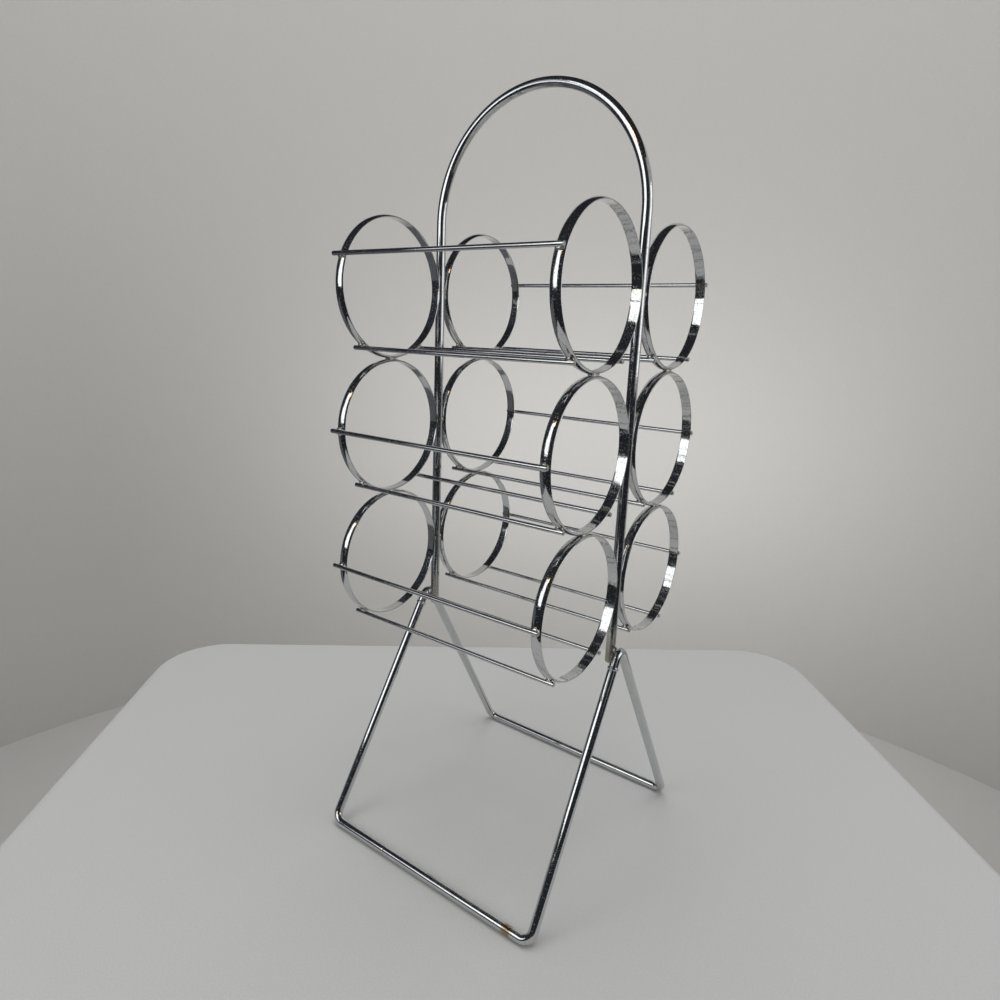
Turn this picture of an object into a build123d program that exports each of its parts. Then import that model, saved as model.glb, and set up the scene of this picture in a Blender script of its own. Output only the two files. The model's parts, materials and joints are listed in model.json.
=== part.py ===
from build123d import *
import math
import os

# Free-standing wire rack that holds six bottles lying down, three rows high and two across.
# X runs along the bottles, Y across the two columns and Z up.
# The origin is on the floor, at the middle of the rack.
# front is the +X end, rear the -X end, left the -Y column and right the +Y column.
# All sizes are in millimetres.

# Frame rod, of which the hoop and the base are bent
frame_rod_diameter = 7.0
upright_spacing = 170.0  # between the centre lines of the two uprights
upright_end_radius = 1.2  # rounding of the hoop's two cut ends

# Base: two inverted Vs joined by two floor rails, one closed rod
base_width = 208.0  # between the centre lines of the two floor rails
leg_meeting_height = 178.0  # height at which the centre lines of a pair of legs would meet
base_splay = 3.5  # how far the feet stand out past the top of the legs
apex_bend_radius = 6.0
corner_bend_radius = 8.0
apex_lap = 9.0  # length of the upright's end below the middle of the bend it is welded to

# Rings: half-oval strip, rolled with its flat side inwards
ring_outer_diameter = 99.0
strip_width = 7.5
strip_thickness = 2.0
strip_edge_height = 0.5  # flat flank on each side of the strip, below its dome
first_row_rise = 58.5  # from the foot of the uprights to the centre of the bottom row
handle_rise = 49.0  # from the centre of the top row to the start of the handle's arc

# Cradle rods, three under and beside each bottle
cradle_rod_diameter = 3.2
cradle_rod_chamfer = 0.4
rod_overhang_front = 0.2  # past the front ring
rod_overhang_rear = 2.5  # past the rear ring
cradle_angle = 35.0  # of the two lower rods, either side of straight down
close_cradle_angle = 30.0  # the same in the right column's middle bay, welded closer together
low_inner_angle = 38.0  # the right column's bottom bay has its two rods shifted inwards
low_outer_angle = 26.0
side_rod_angle = 0.0  # of the outer rod, above level
top_left_rod_angle = 22.0  # the top bottles' outer rods sit higher
top_right_rod_angle = 14.0

# Welds
weld_gap = 0.15  # weld metal between two pieces that touch
small_bead_radius = 1.85
foot_bead_radius = 4.4
collar_height = 0.3  # flash left standing round a butt weld
collar_length = 1.8
leg_weld_distance = 17.0  # of a leg's butt weld below the meeting point of the legs

# Worked out from the sizes above
frame_radius = frame_rod_diameter / 2
cradle_radius = cradle_rod_diameter / 2
ring_radius = ring_outer_diameter / 2
bore_radius = ring_radius - strip_thickness
upright_x = upright_spacing / 2
rail_y = base_width / 2
apex_x = upright_x + frame_rod_diameter + weld_gap
foot_x = apex_x + base_splay
bay_y = frame_radius + weld_gap + ring_radius
row_pitch = ring_outer_diameter + weld_gap

leg_rise = leg_meeting_height - frame_radius
leg_half_angle = math.atan2(rail_y, math.hypot(leg_rise, base_splay))
apex_drop = apex_bend_radius * (1 / math.sin(leg_half_angle) - 1)
apex_height = leg_meeting_height - apex_drop
upright_foot_z = apex_height - apex_lap
bottom_row_z = upright_foot_z + first_row_rise
top_row_z = bottom_row_z + 2 * row_pitch
arc_centre_z = top_row_z + handle_rise

row_heights = {
    "bottom": bottom_row_z,
    "middle": bottom_row_z + row_pitch,
    "top": top_row_z,
}
column_sides = {"left": -1, "right": 1}
end_sides = {"front": 1, "rear": -1}


def bend_rod(path, radius):
    """Round bar of the given radius along a path."""
    start = Plane(origin=path @ 0, z_dir=path % 0)
    return sweep(start * Circle(radius), path=path)


def make_hoop():
    """Two uprights and the arched handle, one rod bent in the plane Y = 0."""
    left_foot = (-upright_x, 0, upright_foot_z)
    left_tangent = (-upright_x, 0, arc_centre_z)
    crown = (0, 0, arc_centre_z + upright_x)
    right_tangent = (upright_x, 0, arc_centre_z)
    right_foot = (upright_x, 0, upright_foot_z)
    path = Wire([
        Edge.make_line(left_foot, left_tangent),
        Edge.make_three_point_arc(left_tangent, crown, right_tangent),
        Edge.make_line(right_tangent, right_foot),
    ])
    hoop = bend_rod(path, frame_radius)
    cut_ends = hoop.edges().filter_by(GeomType.CIRCLE).group_by(Axis.Z)[0]
    return fillet(cut_ends, upright_end_radius)


def base_corners():
    """Corners of the base's centre line, in order round the loop."""
    return [
        Vector(foot_x, -rail_y, frame_radius),
        Vector(apex_x, 0, leg_meeting_height),
        Vector(foot_x, rail_y, frame_radius),
        Vector(-foot_x, rail_y, frame_radius),
        Vector(-apex_x, 0, leg_meeting_height),
        Vector(-foot_x, -rail_y, frame_radius),
    ]


def make_base():
    """Closed loop of rod: up and down at each end, and along the floor between."""
    half = [corner_bend_radius, apex_bend_radius, corner_bend_radius]
    path = FilletPolyline(*base_corners(), radius=half + half, close=True)
    return bend_rod(path.wire(), frame_radius)


def make_ring(end, column, row):
    """Half-oval strip rolled into a ring about the bottle's axis."""
    half_width = strip_width / 2
    flank_radius = bore_radius + strip_edge_height
    with BuildSketch(Plane.XZ) as section:
        with BuildLine():
            Polyline(
                (-half_width, flank_radius),
                (-half_width, bore_radius),
                (half_width, bore_radius),
                (half_width, flank_radius),
            )
            ThreePointArc((half_width, flank_radius), (0, ring_radius), (-half_width, flank_radius))
        make_face()
    ring = revolve(section.sketch, Axis.X)
    place = (end_sides[end] * upright_x, column_sides[column] * bay_y, row_heights[row])
    return Pos(*place) * ring


def rod_angles(column, row):
    """Angle of each rod about its ring, in degrees up from straight outwards."""
    side = side_rod_angle
    outer = cradle_angle
    inner = cradle_angle
    if row == "top":
        side = top_left_rod_angle if column == "left" else top_right_rod_angle
    if column == "right" and row == "middle":
        outer = close_cradle_angle
        inner = close_cradle_angle
    if column == "right" and row == "bottom":
        outer = low_outer_angle
        inner = low_inner_angle
    return {"side": side, "outer": outer - 90, "inner": -inner - 90}


def polar_place(column, row, angle, distance):
    """Y and Z of a point at an angle and distance from a bottle's axis."""
    outwards = column_sides[column]
    turn = math.radians(angle)
    y = outwards * (bay_y + distance * math.cos(turn))
    z = row_heights[row] + distance * math.sin(turn)
    return y, z


def make_rod(column, row, angle):
    """Straight rod that lies along the outside of a front and a rear ring."""
    front_end = upright_x + strip_width / 2 + rod_overhang_front
    rear_end = -upright_x - strip_width / 2 - rod_overhang_rear
    y, z = polar_place(column, row, angle, ring_radius + weld_gap + cradle_radius)
    start = Plane(origin=(rear_end, y, z), z_dir=(1, 0, 0))
    rod = extrude(start * Circle(cradle_radius), front_end - rear_end)
    return chamfer(rod.edges().filter_by(GeomType.CIRCLE), cradle_rod_chamfer)


def weld_bead(centre, radius, *joined):
    """Blob of weld metal between the pieces it joins."""
    bead = Pos(*centre) * Sphere(radius)
    for piece in joined:
        bead = bead - piece
    return bead


def weld_collar(centre, direction):
    """Thin raised ring of flash round a butt weld in the frame rod."""
    half_length = collar_length / 2
    with BuildSketch(Plane.XZ) as section:
        with BuildLine():
            Line((frame_radius, -half_length), (frame_radius, half_length))
            ThreePointArc(
                (frame_radius, half_length),
                (frame_radius + collar_height, 0),
                (frame_radius, -half_length),
            )
        make_face()
    collar = revolve(section.sketch, Axis.Z)
    return Plane(origin=centre, z_dir=direction).location * collar


def make_butt_welds():
    """Flash round the butt weld in each left leg, a little below the bend."""
    front_foot, front_apex, _, _, rear_apex, rear_foot = base_corners()
    collars = []
    for foot, apex in ((front_foot, front_apex), (rear_foot, rear_apex)):
        leg = (foot - apex).normalized()
        collars.append(weld_collar(apex + leg * leg_weld_distance, leg))
    return collars


def write_node(name, pieces):
    """One STEP file for each node: a single solid, or a group of like ones."""
    solids = [solid for piece in pieces for solid in piece.solids()]
    node = solids[0] if len(solids) == 1 else Compound(children=solids)
    export_step(node, os.path.join("parts", name + ".step"))


os.makedirs("parts", exist_ok=True)

hoop = make_hoop()
base = make_base()
write_node("hoop", [hoop])
write_node("base", [base])
write_node("base_butt_welds", make_butt_welds())

rings = {}
for end in end_sides:
    for column in column_sides:
        for row in row_heights:
            rings[end, column, row] = make_ring(end, column, row)
            write_node(f"ring_{end}_{column}_{row}", [rings[end, column, row]])

for column in column_sides:
    rod_beads = []
    for row in row_heights:
        for place, angle in rod_angles(column, row).items():
            rod = make_rod(column, row, angle)
            write_node(f"rod_{column}_{row}_{place}", [rod])
            y, z = polar_place(column, row, angle, ring_radius + weld_gap / 2)
            for end, side in end_sides.items():
                joint = (side * upright_x, y, z)
                ring = rings[end, column, row]
                rod_beads.append(weld_bead(joint, small_bead_radius, rod, ring))
    write_node(f"rod_welds_{column}", rod_beads)

upright_beads = []
stack_beads = []
for (end, column, row), ring in rings.items():
    x = end_sides[end] * upright_x
    side = column_sides[column]
    joint = (x, side * (frame_radius + weld_gap / 2), row_heights[row])
    upright_beads.append(weld_bead(joint, small_bead_radius, ring, hoop))
    if row != "top":
        above = "middle" if row == "bottom" else "top"
        joint = (x, side * bay_y, row_heights[row] + row_pitch / 2)
        stack_beads.append(weld_bead(joint, small_bead_radius, ring, rings[end, column, above]))
write_node("upright_welds", upright_beads)
write_node("ring_stack_welds", stack_beads)

foot_beads = []
for side in end_sides.values():
    joint = (side * (upright_x + frame_radius + weld_gap / 2), 0, apex_height)
    foot_beads.append(weld_bead(joint, foot_bead_radius, hoop, base))
write_node("hoop_foot_welds", foot_beads)
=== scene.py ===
import json
import math

import bmesh
import bpy
from mathutils import Matrix, Vector, noise


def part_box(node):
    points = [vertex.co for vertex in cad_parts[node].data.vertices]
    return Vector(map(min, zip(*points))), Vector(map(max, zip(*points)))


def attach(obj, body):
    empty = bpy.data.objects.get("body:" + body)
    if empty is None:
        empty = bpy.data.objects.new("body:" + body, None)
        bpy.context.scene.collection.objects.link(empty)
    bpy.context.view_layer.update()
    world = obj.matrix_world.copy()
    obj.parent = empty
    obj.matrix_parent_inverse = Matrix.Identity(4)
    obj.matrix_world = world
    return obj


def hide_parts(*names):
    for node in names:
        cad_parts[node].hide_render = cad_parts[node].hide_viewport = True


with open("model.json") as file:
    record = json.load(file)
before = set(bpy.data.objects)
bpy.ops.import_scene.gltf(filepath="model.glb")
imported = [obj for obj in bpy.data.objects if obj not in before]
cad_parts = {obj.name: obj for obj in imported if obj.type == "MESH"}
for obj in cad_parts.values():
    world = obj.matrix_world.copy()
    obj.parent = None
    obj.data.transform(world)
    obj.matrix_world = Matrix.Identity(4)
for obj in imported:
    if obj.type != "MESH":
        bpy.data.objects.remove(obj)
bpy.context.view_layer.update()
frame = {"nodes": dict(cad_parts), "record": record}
print("frame loaded,", len(frame["nodes"]), "nodes")

columns = {"left": -1, "right": 1}
ends = {"front": 1, "rear": -1}
rows = ("bottom", "middle", "top")
places = ("side", "outer", "inner")


def middleOf(node):
    low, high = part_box(node)
    return (low + high) / 2


def sizeOf(node):
    low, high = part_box(node)
    return high - low


# what the rods and strips measure, read off the frame
frameRod = sizeOf("hoop").y / 2
cradleRod = sizeOf("rod_left_middle_side").y / 2
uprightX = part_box("hoop")[1].x - frameRod
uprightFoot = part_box("hoop")[0].z
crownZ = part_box("hoop")[1].z - frameRod
ringRadius = sizeOf("ring_front_left_top").z / 2
stripWidth = sizeOf("ring_front_left_top").x
boreRadius = frame["record"]["mounts"][0]["dims"]["r_mm"] / 1000
weldGap = 0.00015  # weld metal between two pieces that touch


# small helpers for node trees
def feed(tree, value, socket):
    if isinstance(value, bpy.types.NodeSocket):
        tree.links.new(value, socket)
    else:
        socket.default_value = value


def addNode(tree, kind, inputs=None, **settings):
    node = tree.nodes.new(kind)
    for key, value in settings.items():
        setattr(node, key, value)
    for key, value in (inputs or {}).items():
        feed(tree, value, node.inputs[key])
    return node


def calc(tree, operation, *values, clamp=False):
    node = addNode(tree, "ShaderNodeMath", operation=operation, use_clamp=clamp)
    for value, socket in zip(values, node.inputs):
        feed(tree, value, socket)
    return node.outputs[0]


def remap(tree, value, low, high, newLow=0.0, newHigh=1.0):
    settings = {"Value": value, "From Min": low, "From Max": high, "To Min": newLow, "To Max": newHigh}
    return addNode(tree, "ShaderNodeMapRange", settings).outputs["Result"]


def cloudy(tree, vector, scale, detail):
    settings = {"Vector": vector, "Scale": scale, "Detail": detail}
    return addNode(tree, "ShaderNodeTexNoise", settings).outputs["Fac"]


def blendColours(tree, share, first, second):
    node = addNode(tree, "ShaderNodeMix", data_type="RGBA")
    feed(tree, share, node.inputs[0])
    feed(tree, first, node.inputs[6])
    feed(tree, second, node.inputs[7])
    return node.outputs[2]


def newEffect(name, inputs, outputs):
    tree = bpy.data.node_groups.new(name, "ShaderNodeTree")
    for label, (kind, value) in inputs.items():
        socket = tree.interface.new_socket(label, in_out="INPUT", socket_type="NodeSocket" + kind)
        if value is not None:
            socket.default_value = value
    for label, kind in outputs.items():
        tree.interface.new_socket(label, in_out="OUTPUT", socket_type="NodeSocket" + kind)
    inlet = tree.nodes.new("NodeGroupInput")
    outlet = tree.nodes.new("NodeGroupOutput")
    return tree, inlet.outputs, outlet.inputs


def placeEffect(tree, effect, **inputs):
    node = tree.nodes.new("ShaderNodeGroup")
    node.node_tree = effect
    for key, value in inputs.items():
        feed(tree, value, node.inputs[key])
    return node.outputs


# waves left in bright plate: a fine orange peel over broad swells
def makePlatingRipple():
    settings = {
        "Vector": ("Vector", None), "Peel": ("Float", 700.0),
        "Swell": ("Float", 110.0), "Swell Share": ("Float", 2.0),
    }
    tree, given, result = newEffect("platingRipple", settings, {"Height": "Float"})
    peel = calc(tree, "SUBTRACT", cloudy(tree, given["Vector"], given["Peel"], 1.0), 0.5)
    swell = calc(tree, "SUBTRACT", cloudy(tree, given["Vector"], given["Swell"], 1.0), 0.5)
    swell = calc(tree, "MULTIPLY", swell, given["Swell Share"])
    feed(tree, calc(tree, "ADD", peel, swell), result["Height"])
    return tree


# pinholes in the plate, in loose patches
def makePlatingPits():
    settings = {
        "Vector": ("Vector", None), "Scale": ("Float", 900.0),
        "Patches": ("Float", 60.0), "Cover": ("Float", 0.3),
    }
    tree, given, result = newEffect("platingPits", settings, {"Mask": "Float", "Height": "Float"})
    cells = addNode(tree, "ShaderNodeTexVoronoi", {"Vector": given["Vector"], "Scale": given["Scale"]})
    dots = remap(tree, cells.outputs["Distance"], 0.42, 0.12)
    chosen = addNode(tree, "ShaderNodeSeparateColor", {"Color": cells.outputs["Color"]}).outputs["Red"]
    patch = remap(tree, cloudy(tree, given["Vector"], given["Patches"], 2.0), 0.35, 0.65)
    limit = calc(tree, "MULTIPLY", given["Cover"], calc(tree, "ADD", patch, 0.5))
    picked = calc(tree, "LESS_THAN", chosen, limit)
    mask = calc(tree, "MULTIPLY", dots, picked, clamp=True)
    feed(tree, mask, result["Mask"])
    feed(tree, calc(tree, "MULTIPLY", mask, -1.0), result["Height"])
    return tree


# straw, brown and blue-grey colours where the metal was hot, with a dull haze
def makeHeatTint():
    tree, given, result = newEffect(
        "heatTint",
        {"Vector": ("Vector", None), "Heat": ("Float", 0.0), "Chrome": ("Color", (0.7, 0.7, 0.7, 1.0))},
        {"Colour": "Color", "Haze": "Float"},
    )
    ragged = calc(tree, "SUBTRACT", cloudy(tree, given["Vector"], 420.0, 3.0), 0.5)
    heat = calc(tree, "ADD", given["Heat"], calc(tree, "MULTIPLY", ragged, 0.35))
    ramp = tree.nodes.new("ShaderNodeValToRGB")
    colours = ramp.color_ramp.elements
    colours[0].position, colours[0].color = 0.25, (1.0, 1.0, 1.0, 1.0)
    colours[1].position, colours[1].color = 1.0, (0.2, 0.17, 0.16, 1.0)
    for position, colour in (
        (0.45, (0.95, 0.86, 0.68, 1.0)), (0.62, (0.62, 0.47, 0.32, 1.0)), (0.82, (0.36, 0.31, 0.29, 1.0)),
    ):
        colours.new(position).color = colour
    feed(tree, heat, ramp.inputs["Fac"])
    tinted = addNode(tree, "ShaderNodeMix", data_type="RGBA", blend_type="MULTIPLY")
    tinted.inputs[0].default_value = 1.0
    feed(tree, given["Chrome"], tinted.inputs[6])
    feed(tree, ramp.outputs["Color"], tinted.inputs[7])
    feed(tree, tinted.outputs[2], result["Colour"])
    feed(tree, remap(tree, heat, 0.4, 1.0), result["Haze"])
    return tree


# finger marks and wiped film: soft clouds, finely speckled
def makeHandFilm():
    tree, given, result = newEffect(
        "handFilm",
        {"Vector": ("Vector", None), "Scale": ("Float", 35.0)},
        {"Film": "Float"},
    )
    clouds = remap(tree, cloudy(tree, given["Vector"], given["Scale"], 3.0), 0.4, 0.7)
    specks = remap(tree, cloudy(tree, given["Vector"], 520.0, 2.0), 0.45, 0.75)
    speckled = calc(tree, "ADD", calc(tree, "MULTIPLY", specks, 0.6), 0.4)
    feed(tree, calc(tree, "MULTIPLY", clouds, speckled), result["Film"])
    return tree


# lines that drawing through a die leaves along a rod; the map runs in metres, round and along
def makeDrawnLines():
    tree, given, result = newEffect(
        "drawnLines",
        {"Vector": ("Vector", None), "Across": ("Float", 2200.0), "Along": ("Float", 30.0)},
        {"Height": "Float"},
    )
    parts = addNode(tree, "ShaderNodeSeparateXYZ", {"Vector": given["Vector"]})
    across = calc(tree, "MULTIPLY", parts.outputs["X"], given["Across"])
    along = calc(tree, "MULTIPLY", parts.outputs["Y"], given["Along"])
    stretched = addNode(tree, "ShaderNodeCombineXYZ", {"X": across, "Y": along}).outputs["Vector"]
    feed(tree, calc(tree, "SUBTRACT", cloudy(tree, stretched, 1.0, 2.0), 0.5), result["Height"])
    return tree


platingRipple = makePlatingRipple()
platingPits = makePlatingPits()
heatTint = makeHeatTint()
handFilm = makeHandFilm()
drawnLines = makeDrawnLines()

plated = {
    "frameChrome": {
        "colour": (0.62, 0.625, 0.635, 1.0), "gloss": 0.045, "film": 0.08, "haze": 0.35,
        "depth": 0.000010, "peel": 800.0, "swell": 70.0, "swellShare": 5.0, "lines": 0.35,
        "pits": 0.45, "pitScale": 900.0, "pitDepth": 0.5, "pitShade": 0.55, "pitHaze": 0.35,
    },
    "ringChrome": {
        "colour": (0.62, 0.625, 0.63, 1.0), "gloss": 0.05, "film": 0.10, "haze": 0.25,
        "depth": 0.000014, "peel": 850.0, "swell": 120.0, "swellShare": 2.2, "lines": 0.4,
        "pits": 0.55, "pitScale": 900.0, "pitDepth": 0.5, "pitShade": 0.5, "pitHaze": 0.38,
    },
    "rodChrome": {
        "colour": (0.60, 0.605, 0.61, 1.0), "gloss": 0.06, "film": 0.10, "haze": 0.25,
        "depth": 0.000010, "peel": 900.0, "swell": 120.0, "swellShare": 3.0, "lines": 0.4,
        "pits": 0.40, "pitScale": 1100.0, "pitDepth": 0.5, "pitShade": 0.4, "pitHaze": 0.35,
    },
    "weldMetal": {
        "colour": (0.64, 0.625, 0.60, 1.0), "gloss": 0.22, "film": 0.2, "haze": 0.3,
        "depth": 0.00004, "peel": 700.0, "swell": 260.0, "swellShare": 2.5, "lines": 0.0,
        "pits": 0.35, "pitScale": 1400.0, "pitDepth": 1.0, "pitShade": 0.4, "pitHaze": 0.3,
    },
}


scorchHaze = 0.26  # roughness that scorching adds to any of them


def makePlated(name, look):
    material = bpy.data.materials.new(name)
    material.use_nodes = True
    tree = material.node_tree
    tree.nodes.clear()
    inPlace = addNode(tree, "ShaderNodeTexCoord").outputs["Object"]
    onRod = addNode(tree, "ShaderNodeUVMap", uv_map="rodMap").outputs["UV"]
    heat = addNode(tree, "ShaderNodeAttribute", attribute_name="warmed").outputs["Fac"]
    burnt = addNode(tree, "ShaderNodeAttribute", attribute_name="burnt").outputs["Fac"]
    waves = {
        "Vector": inPlace, "Peel": look["peel"],
        "Swell": look["swell"], "Swell Share": look["swellShare"],
    }
    ripple = placeEffect(tree, platingRipple, **waves)
    pits = placeEffect(tree, platingPits, Vector=inPlace, Scale=look["pitScale"], Cover=look["pits"])
    tint = placeEffect(tree, heatTint, Vector=inPlace, Heat=heat, Chrome=look["colour"])
    film = placeEffect(tree, handFilm, Vector=inPlace)
    lines = placeEffect(tree, drawnLines, Vector=onRod)

    dark = (0.16, 0.15, 0.14, 1.0)  # bare, oxidised metal down in a pinhole
    pitted = calc(tree, "MULTIPLY", pits["Mask"], look["pitShade"])
    colour = blendColours(tree, pitted, tint["Colour"], dark)
    scorched = (0.42, 0.385, 0.335, 1.0)  # plate that a long weld beside it has dulled
    colour = blendColours(tree, burnt, colour, scorched)

    rough = calc(tree, "MULTIPLY_ADD", film["Film"], look["film"], look["gloss"])
    rough = calc(tree, "MULTIPLY_ADD", tint["Haze"], look["haze"], rough)
    rough = calc(tree, "MULTIPLY_ADD", pits["Mask"], look["pitHaze"], rough)
    rough = calc(tree, "MULTIPLY_ADD", burnt, scorchHaze, rough)

    height = calc(tree, "MULTIPLY_ADD", pits["Height"], look["pitDepth"], ripple["Height"])
    height = calc(tree, "MULTIPLY_ADD", lines["Height"], look["lines"], height)
    bump = addNode(tree, "ShaderNodeBump", {"Distance": look["depth"], "Height": height})

    shader = addNode(tree, "ShaderNodeBsdfPrincipled", {"Metallic": 1.0, "Base Color": colour})
    feed(tree, rough, shader.inputs["Roughness"])
    feed(tree, bump.outputs["Normal"], shader.inputs["Normal"])
    out = addNode(tree, "ShaderNodeOutputMaterial")
    feed(tree, shader.outputs["BSDF"], out.inputs["Surface"])
    return material


finishes = {name: makePlated(name, look) for name, look in plated.items()}
print("plate finishes made")

sharpAngle = math.radians(50)  # creases steeper than this stay crisp
coldFrom = 2.5  # reaches away from a weld, past which no heat shows


# a mesh object in place, smooth-shaded, with its map and its heat marks
def newPiece(name, points, faces, maps, hot, finish, nodes, scorch=()):
    mesh = bpy.data.meshes.new(name)
    mesh.from_pydata(points, [], faces)
    layer = mesh.uv_layers.new(name="rodMap")
    for loop, uv in zip(layer.data, maps):
        loop.uv = uv
    warmed = mesh.attributes.new("warmed", "FLOAT", "POINT")
    warmed.data.foreach_set("value", [warmthAt(point, hot) for point in points])
    burnt = mesh.attributes.new("burnt", "FLOAT", "POINT")
    burnt.data.foreach_set("value", [warmthAt(point, scorch) for point in points])
    mesh.materials.append(finishes[finish])
    mesh.validate()
    mesh.shade_smooth()
    mesh.set_sharp_from_angle(angle=sharpAngle)
    piece = bpy.data.objects.new(name, mesh)
    bpy.context.scene.collection.objects.link(piece)
    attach(piece, "root")
    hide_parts(*nodes)
    return piece


# how strongly a spot was heated: hot holds (place, reach, strength) of each weld or bend
def warmthAt(point, hot):
    strongest = 0.0
    for place, reach, strength in hot:
        away = (Vector(point) - place).length / reach
        if away < coldFrom:
            strongest = max(strongest, strength * math.exp(-away * away))
    return strongest


# centre line through corners, each rounded to its radius
def roundedPath(corners, radii, closed, straightStep, bendStep):
    path = []
    count = len(corners)
    inner = range(count) if closed else range(1, count - 1)
    if not closed:
        path.append(corners[0])
    for i in inner:
        corner, radius = corners[i], radii[i]
        toLast = (corners[i - 1] - corner).normalized()
        toNext = (corners[(i + 1) % count] - corner).normalized()
        half = toLast.angle(toNext) / 2
        centre = corner + (toLast + toNext).normalized() * radius / math.sin(half)
        first = corner + toLast * radius / math.tan(half) - centre
        last = corner + toNext * radius / math.tan(half) - centre
        turn = math.pi - 2 * half
        axis = first.cross(last).normalized()
        steps = max(6, round(turn * radius / bendStep))
        for k in range(steps + 1):
            path.append(centre + Matrix.Rotation(turn * k / steps, 3, axis) @ first)
    if not closed:
        path.append(corners[-1])
    spaced = []
    runs = zip(path, path[1:] + path[:1]) if closed else zip(path, path[1:])
    for a, b in runs:
        length = (b - a).length
        if length < 1e-7:
            continue
        steps = max(1, round(length / straightStep))
        spaced += [a.lerp(b, k / steps) for k in range(steps)]
    if not closed:
        spaced.append(path[-1])
    return spaced


# more stations on a path near a place
def refinePath(path, place, reach, step, closed):
    fine = []
    runs = zip(path, path[1:] + path[:1]) if closed else zip(path, path[1:])
    for a, b in runs:
        near = ((a + b) / 2 - place).length < reach + (b - a).length / 2
        steps = max(1, round((b - a).length / step)) if near else 1
        fine += [a.lerp(b, k / steps) for k in range(steps)]
    if not closed:
        fine.append(path[-1])
    return fine


def pathDirections(path, closed):
    count = len(path)
    directions = []
    for i in range(count):
        before = path[i - 1] if closed or i > 0 else path[i]
        after = path[(i + 1) % count] if closed or i < count - 1 else path[i]
        directions.append((after - before).normalized())
    return directions


# round bar along a path; thickness gives its radius at each station
def sweepRod(path, thickness, sides, closed=False):
    count = len(path)
    directions = pathDirections(path, closed)
    across = directions[0].orthogonal().normalized()
    frames = [across]
    for i in range(1, count):
        turn = directions[i - 1].rotation_difference(directions[i])
        across = turn @ across
        frames.append(across.copy())
    slip = 0.0  # what the section has turned by on coming back to the start
    if closed:
        back = directions[-1].rotation_difference(directions[0]) @ across
        slip = math.atan2(back.cross(frames[0]).dot(directions[0]), back.dot(frames[0]))
    points = []
    distances = []
    gone = 0.0
    for i in range(count):
        if i:
            gone += (path[i] - path[i - 1]).length
        distances.append(gone)
        side = Matrix.Rotation(slip * i / count, 3, directions[i]) @ frames[i]
        up = directions[i].cross(side)
        for k in range(sides):
            angle = 2 * math.pi * k / sides
            points.append(path[i] + (side * math.cos(angle) + up * math.sin(angle)) * thickness[i])
    faces = []
    maps = []
    girth = 2 * math.pi * max(thickness)
    loops = count if closed else count - 1
    for i in range(loops):
        j = (i + 1) % count
        here = distances[i]
        there = distances[j] if j else gone + (path[0] - path[-1]).length
        for k in range(sides):
            m = (k + 1) % sides
            faces.append((i * sides + k, i * sides + m, j * sides + m, j * sides + k))
            left, right = girth * k / sides, girth * (k + 1) / sides
            maps += [(left, here), (right, here), (right, there), (left, there)]
    if not closed:
        for start, flip in ((0, True), ((count - 1) * sides, False)):
            ring = [start + k for k in range(sides)]
            faces.append(tuple(reversed(ring)) if flip else tuple(ring))
            maps += [(girth * k / sides, 0.0) for k in range(sides)]
    return points, faces, maps


# stations and radii for the rounded cut end of a rod, from the tip inwards
def roundedTip(radius, rounding, steps=5):
    tip = []
    for k in range(steps + 1):
        angle = math.pi / 2 * (1 - k / steps)
        tip.append((rounding * (1 - math.sin(angle)), radius - rounding * (1 - math.cos(angle))))
    return tip


# an open path gets rounded ends: extra stations near both tips, with their radii
def withTips(path, radius, rounding):
    tip = roundedTip(radius, rounding)
    inward = (path[1] - path[0]).normalized()
    start = [(path[0] + inward * inset, size) for inset, size in tip]
    inward = (path[-2] - path[-1]).normalized()
    finish = [(path[-1] + inward * inset, size) for inset, size in reversed(tip)]
    clear = rounding * 1.5
    body = [
        (point, radius) for point in path
        if (point - path[0]).length > clear and (point - path[-1]).length > clear
    ]
    stations = start + body + finish
    return [point for point, size in stations], [size for point, size in stations]


# heat marks and scorching are given as (reach, strength)
hoopMake = {
    "sides": 36, "straightStep": 0.004, "bendStep": 0.0025, "endRounding": 0.0012,
    "ringHeat": (0.006, 0.55), "footHeat": (0.009, 0.7), "footScorch": (0.020, 0.9),
    "heatDrop": 0.004,  # of the foot's heat below the middle of the bend it is welded to
    "scorchRise": 0.004,  # of the scorching above the upright's cut end
}
baseMake = {
    "sides": 36, "straightStep": 0.004, "bendStep": 0.0008,
    "cornerBend": 0.008, "apexBend": 0.006,
    "legWeld": 0.017,  # of a left leg's butt weld below the meeting point of the legs
    "seamFromCorner": 0.056,  # of the closing seam in the left floor rail, from its rear corner
    "seamDepth": 0.00022, "seamWidth": 0.0005, "seamReach": 0.003, "seamStep": 0.00012,
    "mendFromCorner": 0.018,  # of the brown weld in the same rail, from its front corner
    "mendDepth": 0.00018, "mendWidth": 0.0016, "mendReach": 0.005, "mendStep": 0.0003,
    "seamHeat": (0.0045, 0.5), "mendHeat": (0.006, 0.92), "cornerHeat": (0.008, 0.34),
    "footHeat": (0.0055, 0.8), "legHeat": (0.006, 0.36),
    "cornerInset": 0.005,  # of a corner's heat from the corner, towards the middle of the rack
    "footHeatLeft": 0.003, "footHeatRise": 0.003,  # of the foot's heat from the upright's cut end
}
ringMake = {
    "turns": 192, "edgeHeight": 0.0005, "edgeRounding": 0.00022,
    "edgeSteps": 3, "domeSteps": 14, "flatSteps": 6,
    "waver": 0.00003, "swayShare": 4, "weldHeat": (0.005, 0.50),
}
rodMake = {"sides": 24, "stations": 24, "endRounding": 0.0004, "bow": 0.00025, "weldHeat": (0.005, 0.45)}

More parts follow.
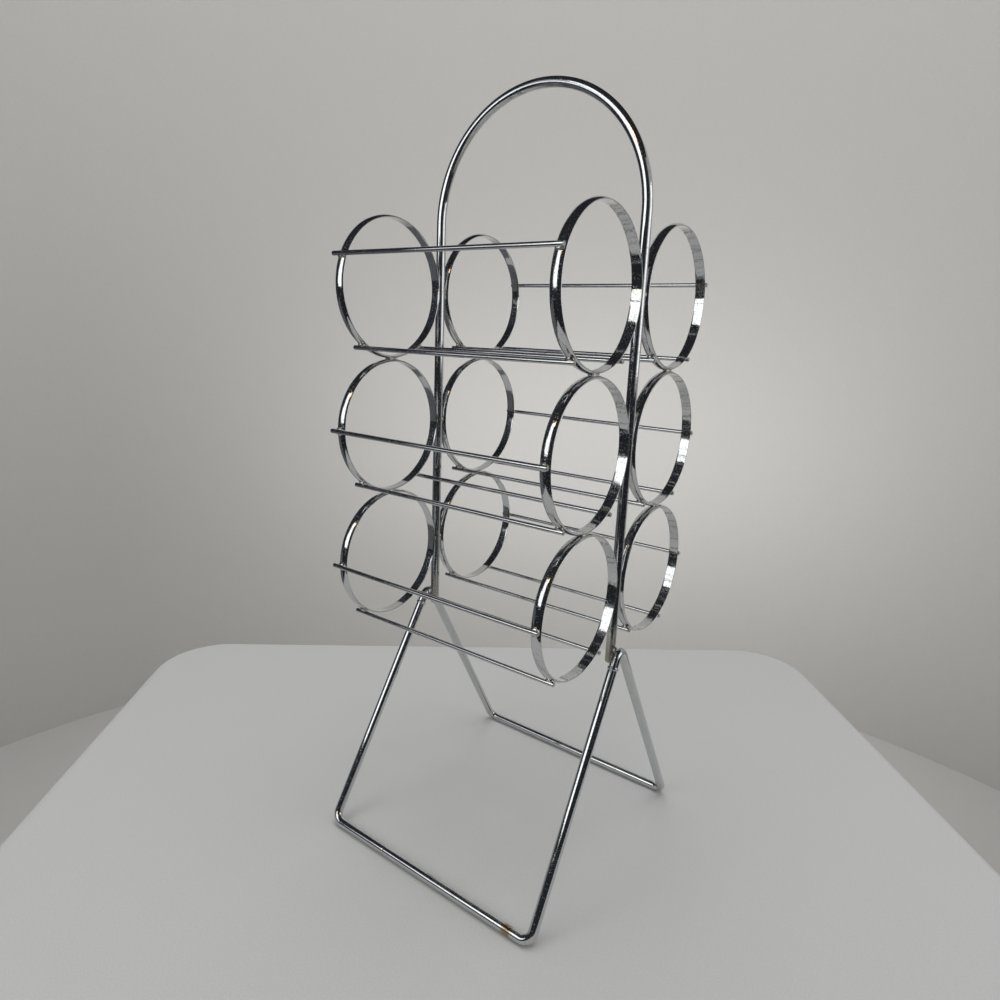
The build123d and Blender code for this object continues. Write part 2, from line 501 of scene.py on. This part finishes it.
# where the base's centre line runs: the legs of a pair would meet above the bend at their top
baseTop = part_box("base")[1]
railY = baseTop.y - frameRod
footX = baseTop.x - frameRod
apexX = uprightX + 2 * frameRod + weldGap
apexZ = baseTop.z - frameRod
meeting = apexZ
for attempt in range(6):
    halfAngle = math.atan2(railY, math.hypot(meeting - frameRod, footX - apexX))
    meeting = apexZ + baseMake["apexBend"] * (1 / math.sin(halfAngle) - 1)

rings = {}
for end in ends:
    for column in columns:
        for row in rows:
            rings[end, column, row] = middleOf(f"ring_{end}_{column}_{row}")
rods = {}
for column in columns:
    for row in rows:
        for place in places:
            rods[column, row, place] = middleOf(f"rod_{column}_{row}_{place}")


# where a cradle rod lies on a ring
def rodJoint(end, column, row, place):
    ring = rings[end, column, row]
    rod = rods[column, row, place]
    outwards = Vector((0, rod.y - ring.y, rod.z - ring.z)).normalized()
    return ring + outwards * (ringRadius + weldGap / 2), outwards


# where a ring touches its upright
def uprightJoint(end, column, row):
    ring = rings[end, column, row]
    return Vector((ring.x, columns[column] * (frameRod + weldGap / 2), ring.z))


def makeHoop(make):
    corners = [Vector((x, 0, z)) for x, z in (
        (-uprightX, uprightFoot), (-uprightX, crownZ), (uprightX, crownZ), (uprightX, uprightFoot),
    )]
    path = roundedPath(corners, [0, uprightX, uprightX, 0], False, make["straightStep"], make["bendStep"])
    path, thickness = withTips(path, frameRod, make["endRounding"])
    points, faces, maps = sweepRod(path, thickness, make["sides"])
    hot = [(uprightJoint(*key), *make["ringHeat"]) for key in rings]
    scorch = []
    for side in ends.values():
        joint = Vector((side * (uprightX + frameRod), 0, apexZ - make["heatDrop"]))
        hot.append((joint, *make["footHeat"]))
        cutEnd = Vector((side * uprightX, 0, uprightFoot + make["scorchRise"]))
        scorch.append((cutEnd, *make["footScorch"]))
    return newPiece("hoopRod", points, faces, maps, hot, "frameChrome", ["hoop"], scorch)


def makeBase(make):
    corners = [Vector(place) for place in (
        (footX, -railY, frameRod), (apexX, 0, meeting), (footX, railY, frameRod),
        (-footX, railY, frameRod), (-apexX, 0, meeting), (-footX, -railY, frameRod),
    )]
    radii = [make["cornerBend"], make["apexBend"], make["cornerBend"]] * 2
    path = roundedPath(corners, radii, True, make["straightStep"], make["bendStep"])
    seam = corners[5] + Vector((make["seamFromCorner"], 0, 0))
    mend = corners[0] - Vector((make["mendFromCorner"], 0, 0))
    path = refinePath(path, seam, make["seamReach"], make["seamStep"], True)
    path = refinePath(path, mend, make["mendReach"], make["mendStep"], True)
    thickness = []
    for point in path:
        groove = make["seamDepth"] * math.exp(-((point - seam).length / make["seamWidth"]) ** 2)
        dent = make["mendDepth"] * math.exp(-((point - mend).length / make["mendWidth"]) ** 2)
        thickness.append(frameRod - groove - dent)
    points, faces, maps = sweepRod(path, thickness, make["sides"], closed=True)
    hot = [(seam, *make["seamHeat"]), (mend, *make["mendHeat"])]
    rackMiddle = Vector((0, 0, 0.3))
    for corner in (corners[0], corners[2], corners[3], corners[5]):
        inward = (rackMiddle - corner).normalized()
        hot.append((corner + inward * make["cornerInset"], *make["cornerHeat"]))
    for side in ends.values():
        x, z = side * (uprightX + frameRod), uprightFoot + make["footHeatRise"]
        hot.append((Vector((x, -make["footHeatLeft"], z)), *make["footHeat"]))
    for foot, apex in ((corners[0], corners[1]), (corners[5], corners[4])):
        hot.append((apex + (foot - apex).normalized() * make["legWeld"], *make["legHeat"]))
    return newPiece("baseRod", points, faces, maps, hot, "frameChrome", ["base"])


# section of the half-oval strip, (across, out) from the middle of its flat side
def stripSection(make):
    half = stripWidth / 2
    height = ringRadius - boreRadius
    edge = make["edgeHeight"]
    rounding = make["edgeRounding"]
    rise = height - edge
    domeRadius = (half * half + rise * rise) / (2 * rise)
    spread = math.asin(half / domeRadius)
    section = []
    for k in range(make["edgeSteps"] + 1):
        angle = math.pi / 2 * k / make["edgeSteps"]
        section.append((half - rounding * (1 - math.sin(angle)), rounding * (1 - math.cos(angle))))
    section.append((half, edge - rounding * 0.5))
    for k in range(make["domeSteps"] + 1):  # from a quarter step inside one flank to the other
        angle = spread * (1 - 2 * (k + 0.25) / (make["domeSteps"] + 0.5))
        section.append((domeRadius * math.sin(angle), height - domeRadius * (1 - math.cos(angle))))
    section.append((-half, edge - rounding * 0.5))
    for k in range(make["edgeSteps"] + 1):
        angle = math.pi / 2 * (1 - k / make["edgeSteps"])
        section.append((-half + rounding * (1 - math.sin(angle)), rounding * (1 - math.cos(angle))))
    for k in range(1, make["flatSteps"]):
        section.append((-(half - rounding) * (1 - 2 * k / make["flatSteps"]), 0.0))
    return section


# a rolled ring sways a little all round, and its surface ripples finely; no two are alike
def makeRing(end, column, row, make):
    centre = rings[end, column, row]
    section = stripSection(make)
    turns = make["turns"]
    count = len(section)
    points = []
    for i in range(turns):
        angle = 2 * math.pi * i / turns
        outwards = Vector((0, math.cos(angle), math.sin(angle)))
        sway = noise.noise(outwards * 3.0 + centre * 40) * make["waver"] * make["swayShare"]
        for across, out in section:
            spot = (centre + outwards * 0.05) * 90 + Vector((across * 30, 0, 0))
            ripple = noise.noise(spot) * make["waver"]
            points.append(centre + Vector((across, 0, 0)) + outwards * (boreRadius + out + sway + ripple))
    lengths = [0.0]
    for a, b in zip(section, section[1:] + section[:1]):
        lengths.append(lengths[-1] + math.dist(a, b))
    faces = []
    maps = []
    girth = 2 * math.pi * ringRadius
    for i in range(turns):
        j = (i + 1) % turns
        here, there = girth * i / turns, girth * (i + 1) / turns
        for k in range(count):
            m = (k + 1) % count
            faces.append((i * count + k, j * count + k, j * count + m, i * count + m))
            near, far = lengths[k], lengths[k + 1]
            maps += [(near, here), (near, there), (far, there), (far, here)]
    hot = [(rodJoint(end, column, row, place)[0], *make["weldHeat"]) for place in places]
    hot.append((uprightJoint(end, column, row), *make["weldHeat"]))
    name = f"ring_{end}_{column}_{row}"
    return newPiece("strip_" + name, points, faces, maps, hot, "ringChrome", [name])


# a straight rod with its own slight bow
def makeCradleRod(column, row, place, make):
    name = f"rod_{column}_{row}_{place}"
    low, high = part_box(name)
    middle = (low + high) / 2
    path = []
    for k in range(make["stations"] + 1):
        share = k / make["stations"]
        bow = math.sin(math.pi * share) * make["bow"] * noise.noise(middle * 70)
        path.append(Vector((low.x + (high.x - low.x) * share, middle.y + bow, middle.z - abs(bow))))
    path[0], path[-1] = Vector((low.x, middle.y, middle.z)), Vector((high.x, middle.y, middle.z))
    path, thickness = withTips(path, cradleRod, make["endRounding"])
    points, faces, maps = sweepRod(path, thickness, make["sides"])
    hot = [(rodJoint(end, column, row, place)[0], *make["weldHeat"]) for end in ends]
    return newPiece("wire_" + name, points, faces, maps, hot, "rodChrome", [name])


makeHoop(hoopMake)
makeBase(baseMake)
for end, column, row in rings:
    makeRing(end, column, row, ringMake)
for column, row, place in rods:
    makeCradleRod(column, row, place, rodMake)
print("rods and rings made")

# puddles of weld metal: half sizes along the bottle, round the ring and outwards
puddleMake = {
    "rods": (0.0031, 0.0028, 0.0015),
    "uprights": (0.0026, 0.0015, 0.0034),
    "stack": (0.0029, 0.0050, 0.0012),
    "feet": (0.0030, 0.0034, 0.0056),
    "lumps": 0.16, "fineShare": 0.4, "heat": (0.004, 0.38),
    "feetDrop": 0.002,  # of the two at the feet, below the middle of the bend
}


def puddleShape():
    ball = bmesh.new()
    bmesh.ops.create_icosphere(ball, subdivisions=3, radius=1.0)
    points = [vert.co.copy() for vert in ball.verts]
    faces = [tuple(vert.index for vert in face.verts) for face in ball.faces]
    ball.free()
    return points, faces


ballPoints, ballFaces = puddleShape()


# one piece of many puddles; each is (centre, outwards, sizes)
def makePuddles(name, puddles, nodes, make):
    points, faces = [], []
    for centre, outwards, sizes in puddles:
        along = Vector((1, 0, 0))
        around = outwards.cross(along).normalized()
        start = len(points)
        for spot in ballPoints:
            lump = 1 + make["lumps"] * noise.noise(spot * 1.6 + centre * 300)
            lump += make["lumps"] * make["fineShare"] * noise.noise(spot * 4.5 + centre * 500)
            shaped = along * spot.x * sizes[0] + around * spot.y * sizes[1] + outwards * spot.z * sizes[2]
            points.append(centre + shaped * lump)
        faces += [tuple(start + k for k in face) for face in ballFaces]
    maps = [(0.0, 0.0)] * (3 * len(faces))
    hot = [(centre, *make["heat"]) for centre, outwards, sizes in puddles]
    return newPiece(name, points, faces, maps, hot, "weldMetal", nodes)


for column in columns:
    puddles = []
    for row in rows:
        for place in places:
            for end in ends:
                joint, outwards = rodJoint(end, column, row, place)
                puddles.append((joint, outwards, puddleMake["rods"]))
    makePuddles(f"rodPuddles_{column}", puddles, [f"rod_welds_{column}"], puddleMake)

upwards = Vector((0, 0, 1))
uprightPuddles = [(uprightJoint(*key), upwards, puddleMake["uprights"]) for key in rings]
makePuddles("uprightPuddles", uprightPuddles, ["upright_welds"], puddleMake)

stackPuddles = []
for end, column, row in rings:
    if row != "top":
        above = rings[end, column, "top" if row == "middle" else "middle"]
        stackPuddles.append(((rings[end, column, row] + above) / 2, upwards, puddleMake["stack"]))
makePuddles("stackPuddles", stackPuddles, ["ring_stack_welds"], puddleMake)

footPuddles = []
for side in ends.values():
    joint = Vector((side * (uprightX + frameRod + weldGap / 2), 0, apexZ - puddleMake["feetDrop"]))
    footPuddles.append((joint, upwards, puddleMake["feet"]))
makePuddles("footPuddles", footPuddles, ["hoop_foot_welds"], puddleMake)

collarMake = {
    "length": 0.0027, "height": 0.0007, "sunk": 0.0001, "sides": 36, "steps": 8, "heat": (0.004, 0.25),
    "uneven": 0.25, "worn": 0.12,  # shares of the height
}


# flash left standing round the butt weld in each left leg
def makeCollars(make):
    points, faces, maps, hot = [], [], [], []
    for side in ends.values():
        apex = Vector((side * apexX, 0, meeting))
        foot = Vector((side * footX, -railY, frameRod))
        down = (foot - apex).normalized()
        centre = apex + down * baseMake["legWeld"]
        path, thickness = [], []
        for k in range(make["steps"] + 1):
            share = k / make["steps"] * 2 - 1
            bulge = math.cos(share * math.pi / 2) ** 0.6
            path.append(centre + down * share * make["length"] / 2)
            thickness.append(frameRod - make["sunk"] + (make["height"] + make["sunk"]) * bulge)
        ringPoints, ringFaces, ringMaps = sweepRod(path, thickness, make["sides"])
        start = len(points)
        for point in ringPoints:
            away = point - centre
            away -= down * away.dot(down)
            uneven = noise.noise(point * 420) * make["height"] * make["uneven"]
            points.append(point + away.normalized() * (uneven - make["height"] * make["worn"]))
        faces += [tuple(start + k for k in face) for face in ringFaces]
        maps += ringMaps
        hot.append((centre, *make["heat"]))
    return newPiece("legFlash", points, faces, maps, hot, "frameChrome", ["base_butt_welds"])


makeCollars(collarMake)
print("welds made")

# the eye stands a little above the top of the rack, off its front left corner
cameraMake = {
    "place": (0.2931, -0.4272, 0.3954), "yaw": 36.18, "pitch": -13.776, "roll": 2.334,
    "lens": 25.235, "sensor": 36.0,
}


def makeCamera(make):
    data = bpy.data.cameras.new("shot")
    data.sensor_width = make["sensor"]
    data.lens = make["lens"]
    data.clip_start = 0.01
    camera = bpy.data.objects.new("shot", data)
    bpy.context.scene.collection.objects.link(camera)
    turned = Matrix.Rotation(math.radians(make["yaw"]), 4, "Z")
    tipped = Matrix.Rotation(math.radians(90 + make["pitch"]), 4, "X")
    rolled = Matrix.Rotation(math.radians(make["roll"]), 4, "Z")
    camera.matrix_world = Matrix.Translation(make["place"]) @ turned @ tipped @ rolled
    bpy.context.scene.camera = camera


makeCamera(cameraMake)

stageMake = {
    "turn": 39.8,  # of the table, so that its back edge lies square to the view
    "middle": (0.0305, -0.0429), "half": (0.389, 0.3675),
    "corner": 0.07, "edge": 0.012, "drop": 0.5, "cornerSteps": 12, "edgeSteps": 6,
    "wallRadius": 1.3, "wallLow": -0.5, "wallHigh": 1.6, "wallSteps": 96,
    "cloth": (0.57, 0.575, 0.575, 1.0), "clothWeave": 900.0, "clothShade": 0.94,
    "wall": (0.60, 0.595, 0.585, 1.0), "wallWeave": 400.0, "wallShade": 0.97,
}


# woven cloth, flecked with a darker shade of its colour
def makeCloth(name, colour, weave, shade):
    material = bpy.data.materials.new(name)
    material.use_nodes = True
    tree = material.node_tree
    tree.nodes.clear()
    inPlace = addNode(tree, "ShaderNodeTexCoord").outputs["Object"]
    threads = cloudy(tree, inPlace, weave, 0.0)
    darker = tuple(channel * shade for channel in colour[:3]) + (1.0,)
    mottled = blendColours(tree, remap(tree, threads, 0.3, 0.7), colour, darker)
    shader = addNode(tree, "ShaderNodeBsdfDiffuse", {"Color": mottled})
    out = addNode(tree, "ShaderNodeOutputMaterial")
    feed(tree, shader.outputs["BSDF"], out.inputs["Surface"])
    return material


def stagePiece(name, points, faces, material):
    mesh = bpy.data.meshes.new(name)
    mesh.from_pydata(points, [], faces)
    mesh.materials.append(material)
    mesh.shade_smooth()
    piece = bpy.data.objects.new(name, mesh)
    bpy.context.scene.collection.objects.link(piece)
    return piece


# table under a plain cloth: a flat top with round corners, then a hanging edge
def makeTable(make):
    halfX, halfY = make["half"]
    corner = make["corner"]
    outline = []
    for quarter, (sx, sy) in enumerate(((1, 1), (-1, 1), (-1, -1), (1, -1))):
        x, y = sx * (halfX - corner), sy * (halfY - corner)
        for k in range(make["cornerSteps"] + 1):
            angle = math.pi / 2 * (quarter + k / make["cornerSteps"])
            outline.append((x, y, math.cos(angle), math.sin(angle)))
    edge = make["edge"]
    levels = [(corner - edge, 0.0)]
    for k in range(1, make["edgeSteps"] + 1):
        angle = math.pi / 2 * k / make["edgeSteps"]
        levels.append((corner - edge * (1 - math.sin(angle)), -edge * (1 - math.cos(angle))))
    levels.append((corner, -make["drop"]))
    turned = Matrix.Rotation(math.radians(make["turn"]), 3, "Z")
    points = []
    for out, z in levels:
        for cx, cy, dx, dy in outline:
            flat = turned @ Vector((cx + dx * out, cy + dy * out, 0))
            points.append((flat.x + make["middle"][0], flat.y + make["middle"][1], z))
    count = len(outline)
    faces = [tuple(range(count))]
    for level in range(len(levels) - 1):
        upper, lower = level * count, (level + 1) * count
        for k in range(count):
            m = (k + 1) % count
            faces.append((upper + k, lower + k, lower + m, upper + m))
    cloth = makeCloth("tableCloth", make["cloth"], make["clothWeave"], make["clothShade"])
    return stagePiece("tableCloth", points, faces, cloth)


def drumWall(radius, low, high, first, last, steps):
    points, faces = [], []
    for k in range(steps + 1):
        angle = math.radians(first + (last - first) * k / steps)
        x, y = -math.sin(angle) * radius, -math.cos(angle) * radius
        points += [(x, y, low), (x, y, high)]
    for k in range(steps):
        a = 2 * k
        faces.append((a, a + 1, a + 3, a + 2))
    return points, faces


def disc(radius, z, steps):
    points = []
    for k in range(steps):
        angle = 2 * math.pi * k / steps
        points.append((math.cos(angle) * radius, math.sin(angle) * radius, z))
    return points, [tuple(range(steps))]


# a wall all round, and the floor that it stands on
def makeBackdrop(make):
    radius, low, high, steps = make["wallRadius"], make["wallLow"], make["wallHigh"], make["wallSteps"]
    cloth = makeCloth("wallCloth", make["wall"], make["wallWeave"], make["wallShade"])
    points, faces = drumWall(radius, low, high, -180.0, 180.0, steps)
    stagePiece("backdrop", points, faces, cloth)
    points, faces = disc(radius, low, steps)
    stagePiece("backdropFoot", points, faces, cloth)


makeTable(stageMake)
makeBackdrop(stageMake)


# painted reflections of the rest of the room: sheets that only bright plate shows, dark ones painting
# shade and pale or glowing ones painting highlights; angles turn from left towards the rear
paintedReflectionMake = {
    # painted shade: a near-black sheet that the plate reflects where the room is unlit
    "paintedShadeWall": {
        "from": -72.0, "to": 118.0, "radius": 1.22, "low": -0.47, "high": 1.5,
        "colour": (0.036, 0.040, 0.050, 1.0), "paintedGlow": 0.0, "floor": True,
    },
    # painted reflection: a dimly lit grey wall band that only the plate shows
    "paintedDimWall": {
        "from": 40.0, "to": 118.0, "radius": 1.20, "low": -0.46, "high": 0.18,
        "colour": (0.21, 0.22, 0.24, 1.0), "paintedGlow": 0.0, "floor": True,
    },
    # painted shade: a low near-black sheet, reflected in the plate alone
    "paintedShadeLowRearWall": {  # stands past the rack's front end, whatever its name says
        "from": -128.0, "to": -58.0, "radius": 1.10, "low": -0.25, "high": 0.28,
        "colour": (0.036, 0.040, 0.050, 1.0), "paintedGlow": 0.0, "floor": False,
    },
    # painted reflection: a pale curtain that only the plate shows
    "paintedCurtainReflection": {
        "from": 31.0, "to": 40.0, "radius": 1.15, "low": 0.38, "high": 1.25,
        "colour": (0.50, 0.51, 0.54, 1.0), "paintedGlow": 0.0, "floor": False,
    },
    # painted highlight: this sheet glows by itself, though it is no lamp, and only the plate shows it
    "paintedGlowCurtain": {
        "from": 30.5, "to": 41.0, "radius": 1.13, "low": 0.45, "high": 0.78,
        "colour": (0.50, 0.51, 0.54, 1.0), "paintedGlow": 2.0, "floor": False,
    },
}


roomSteps = 40  # faces along each stretch of wall
ceilingSteps = 64


def paintedReflectionMaterial(name, colour, paintedGlow):
    material = bpy.data.materials.new(name)
    material.use_nodes = True
    shader = material.node_tree.nodes["Principled BSDF"]
    shader.inputs["Base Color"].default_value = colour
    shader.inputs["Roughness"].default_value = 1.0
    # painted glow: the sheet emits its own colour at this strength, though it is no lamp
    shader.inputs["Emission Color"].default_value = colour
    shader.inputs["Emission Strength"].default_value = paintedGlow
    return material


# seen in reflections alone: a painted reflection that neither lights nor shadows anything
def paintedReflectionPiece(name, points, faces, make):
    piece = stagePiece(name, points, faces, paintedReflectionMaterial(name, make["colour"], make["paintedGlow"]))
    piece.visible_camera = False
    piece.visible_diffuse = False
    piece.visible_shadow = False


# a stretch of painted-reflection wall; one with a floor brings the slice of it that lies inside
def makePaintedReflectionWall(name, make):
    low, high = make["low"], make["high"]
    points, faces = drumWall(make["radius"], low, high, make["from"], make["to"], roomSteps)
    if make["floor"]:
        middle = len(points)
        points.append((0, 0, low))
        faces += [(middle, 2 * k, 2 * k + 2) for k in range(roomSteps)]
    paintedReflectionPiece(name, points, faces, make)


for name, make in paintedReflectionMake.items():
    makePaintedReflectionWall(name, make)
# painted shade overhead: a dark disc that the plate reflects as an unlit ceiling
ceilingMake = paintedReflectionMake["paintedShadeWall"]
ceilingPoints, ceilingFaces = disc(ceilingMake["radius"], ceilingMake["high"], ceilingSteps)
paintedReflectionPiece("paintedShadeCeiling", ceilingPoints, ceilingFaces, ceilingMake)

lightMake = {
    "window": {
        "place": (-0.22, -0.95, 0.84), "aim": (-0.22, 0.0, 0.84), "size": (0.68, 0.92),
        "power": 3.6, "colour": (0.97, 1.0, 0.985),
    },
    "lamp": {
        "place": (0.22, -0.95, 1.25), "aim": (0.22, 0.0, 1.25), "size": (0.18, 0.20),
        "power": 0.45, "colour": (1.0, 0.60, 0.25),
    },
    "sideWindow": {
        "place": (0.95, 0.31, 0.62), "aim": (0.0, 0.0, 0.62), "size": (0.70, 0.62),
        "power": 1.65, "colour": (0.95, 0.98, 1.0),
    },
    "overhead": {
        "place": (0.0, 0.1, 1.9), "aim": (0.0, 0.1, 0.0), "size": (1.6, 1.6),
        "power": 19.5, "colour": (1.0, 0.997, 0.99),
    },
    "wallWash": {
        "place": (-0.31, 0.62, 0.10), "aim": (-0.52, 1.16, 0.14), "size": (0.7, 0.3),
        "power": 2.3, "colour": (1.0, 0.99, 0.98),
    },
}


def makeLight(name, make):
    data = bpy.data.lights.new(name, "AREA")
    data.shape = "RECTANGLE"
    data.size, data.size_y = make["size"]
    data.energy = make["power"]
    data.color = make["colour"]
    light = bpy.data.objects.new(name, data)
    bpy.context.scene.collection.objects.link(light)
    light.location = make["place"]
    toward = Vector(make["aim"]) - Vector(make["place"])
    light.rotation_euler = toward.to_track_quat("-Z", "Y").to_euler()
    light.visible_camera = False
    return light


for name, make in lightMake.items():
    light = makeLight(name, make)
    light.visible_glossy = name != "overhead"  # lights the cloth alone; the plate shows the windows

world = bpy.data.worlds.new("room")
world.use_nodes = True
world.node_tree.nodes["Background"].inputs["Color"].default_value = (0.03, 0.032, 0.036, 1.0)
bpy.context.scene.world = world
bpy.context.scene.view_settings.view_transform = "Standard"
print("stage and lights set")
